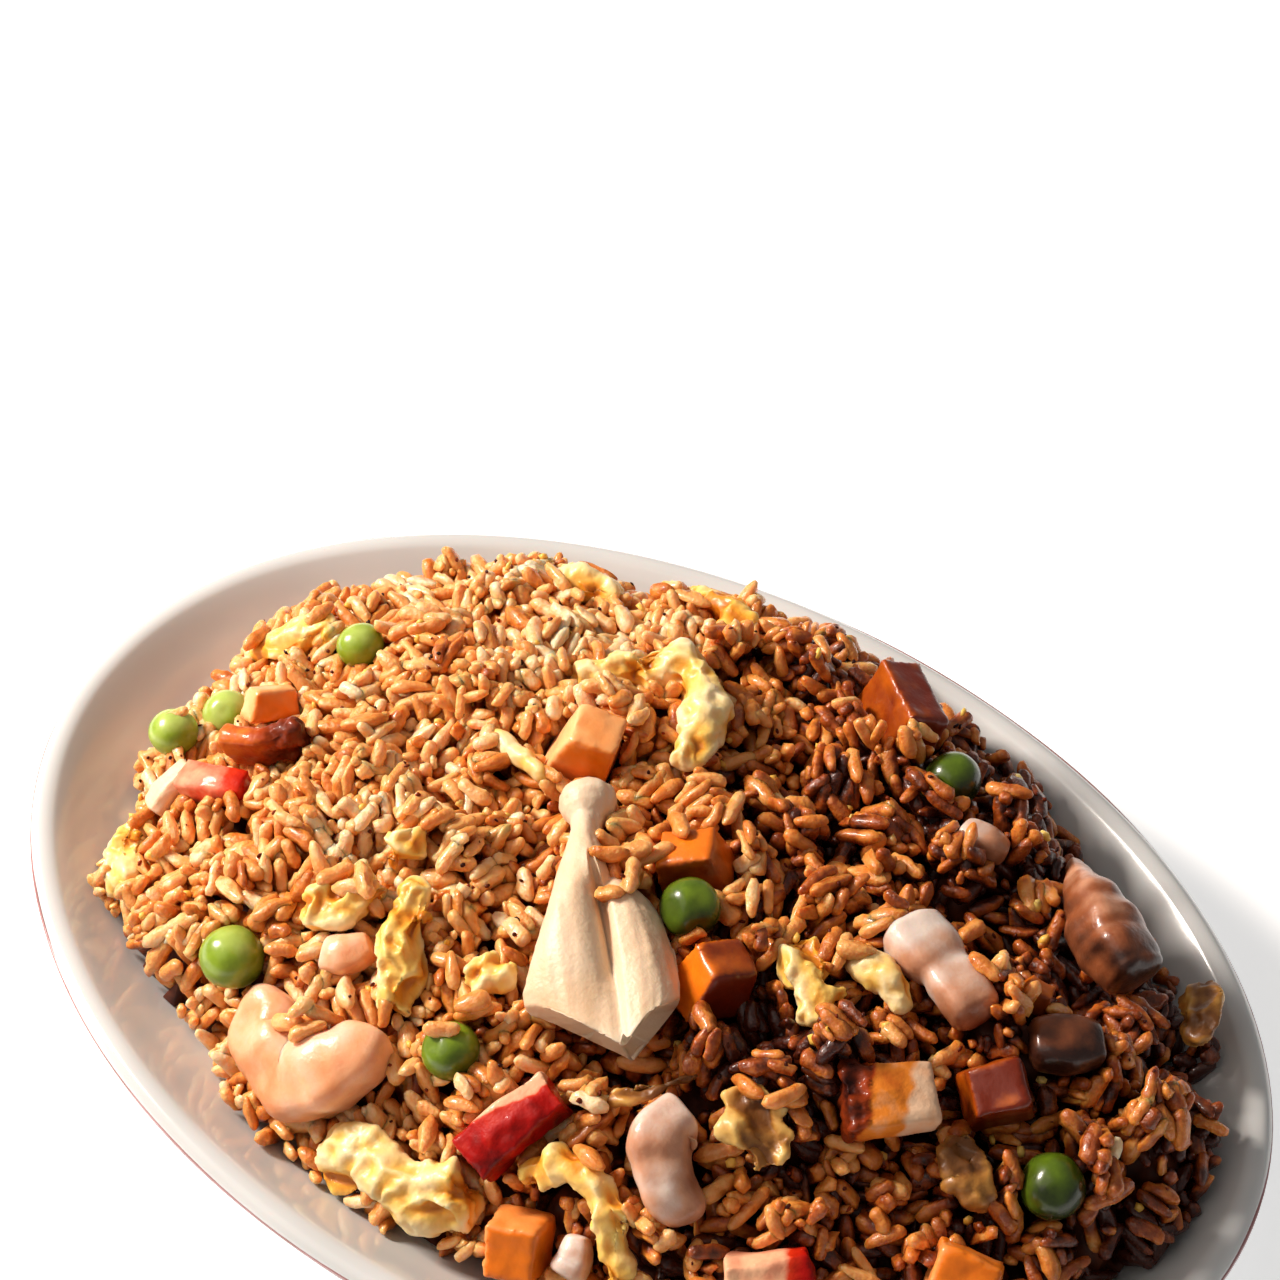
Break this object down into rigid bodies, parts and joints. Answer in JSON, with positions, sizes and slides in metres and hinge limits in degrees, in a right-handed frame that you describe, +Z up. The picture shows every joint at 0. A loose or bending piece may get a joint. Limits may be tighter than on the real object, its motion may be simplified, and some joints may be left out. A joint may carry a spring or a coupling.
{
  "type": "plate of combination fried rice",
  "caption": "Oval platter heaped with browned fried rice, with peas, carrot, barbecued pork, chicken, prawns and scrambled egg bedded in it.",
  "frame": {"origin": "under the middle of the plate, on the surface it stands on", "axes": "+X along the plate's length, +Y across it towards the heap's steep far side, +Z up"},
  "size_m": [0.204, 0.144, 0.0514],
  "materials": {
    "glaze": "glossy white ceramic glaze",
    "rice": "fried rice, brown and slightly glossy",
    "pea": "smooth boiled pea skin",
    "carrot": "cut boiled carrot",
    "pork_glaze": "red glazed roast pork",
    "pork_meat": "cut pork",
    "chicken": "poached chicken",
    "prawn": "cooked prawn, moist",
    "egg": "scrambled egg",
    "egg_browned": "egg fried brown"
  },
  "bodies": {
    "root": {"plate": "glaze", "rice": "rice", "pea_1": "pea", "pea_2": "pea", "pea_3": "pea", "pea_4": "pea", "pea_5": "pea", "pea_6": "pea", "pea_7": "pea", "pea_8": "pea", "carrot_1": "carrot", "carrot_2": "carrot", "carrot_3": "carrot", "carrot_4": "carrot", "carrot_5": "carrot", "carrot_6": "carrot", "carrot_7": "carrot", "carrot_8": "carrot", "carrot_9": "carrot", "barbecued_pork_1": "pork_glaze", "barbecued_pork_2": "pork_meat", "barbecued_pork_3": "pork_glaze", "barbecued_pork_4": "pork_glaze", "barbecued_pork_5": "pork_meat", "chicken_1": "chicken", "chicken_2": "chicken", "prawn_1": "prawn", "prawn_2": "prawn", "prawn_3": "prawn", "prawn_4": "prawn", "prawn_5": "prawn", "prawn_6": "prawn", "prawn_7": "prawn", "prawn_8": "prawn", "egg_1": "egg", "egg_2": "egg", "egg_3": "egg", "egg_4": "egg", "egg_5": "egg", "egg_6": "egg", "egg_7": "egg", "egg_8": "egg", "egg_9": "egg", "egg_10": "egg", "egg_11": "egg_browned", "egg_12": "egg_browned", "egg_13": "egg", "egg_14": "egg", "egg_15": "egg_browned", "egg_16": "egg", "egg_17": "egg_browned", "egg_18": "egg"}
  },
  "joints": []
}
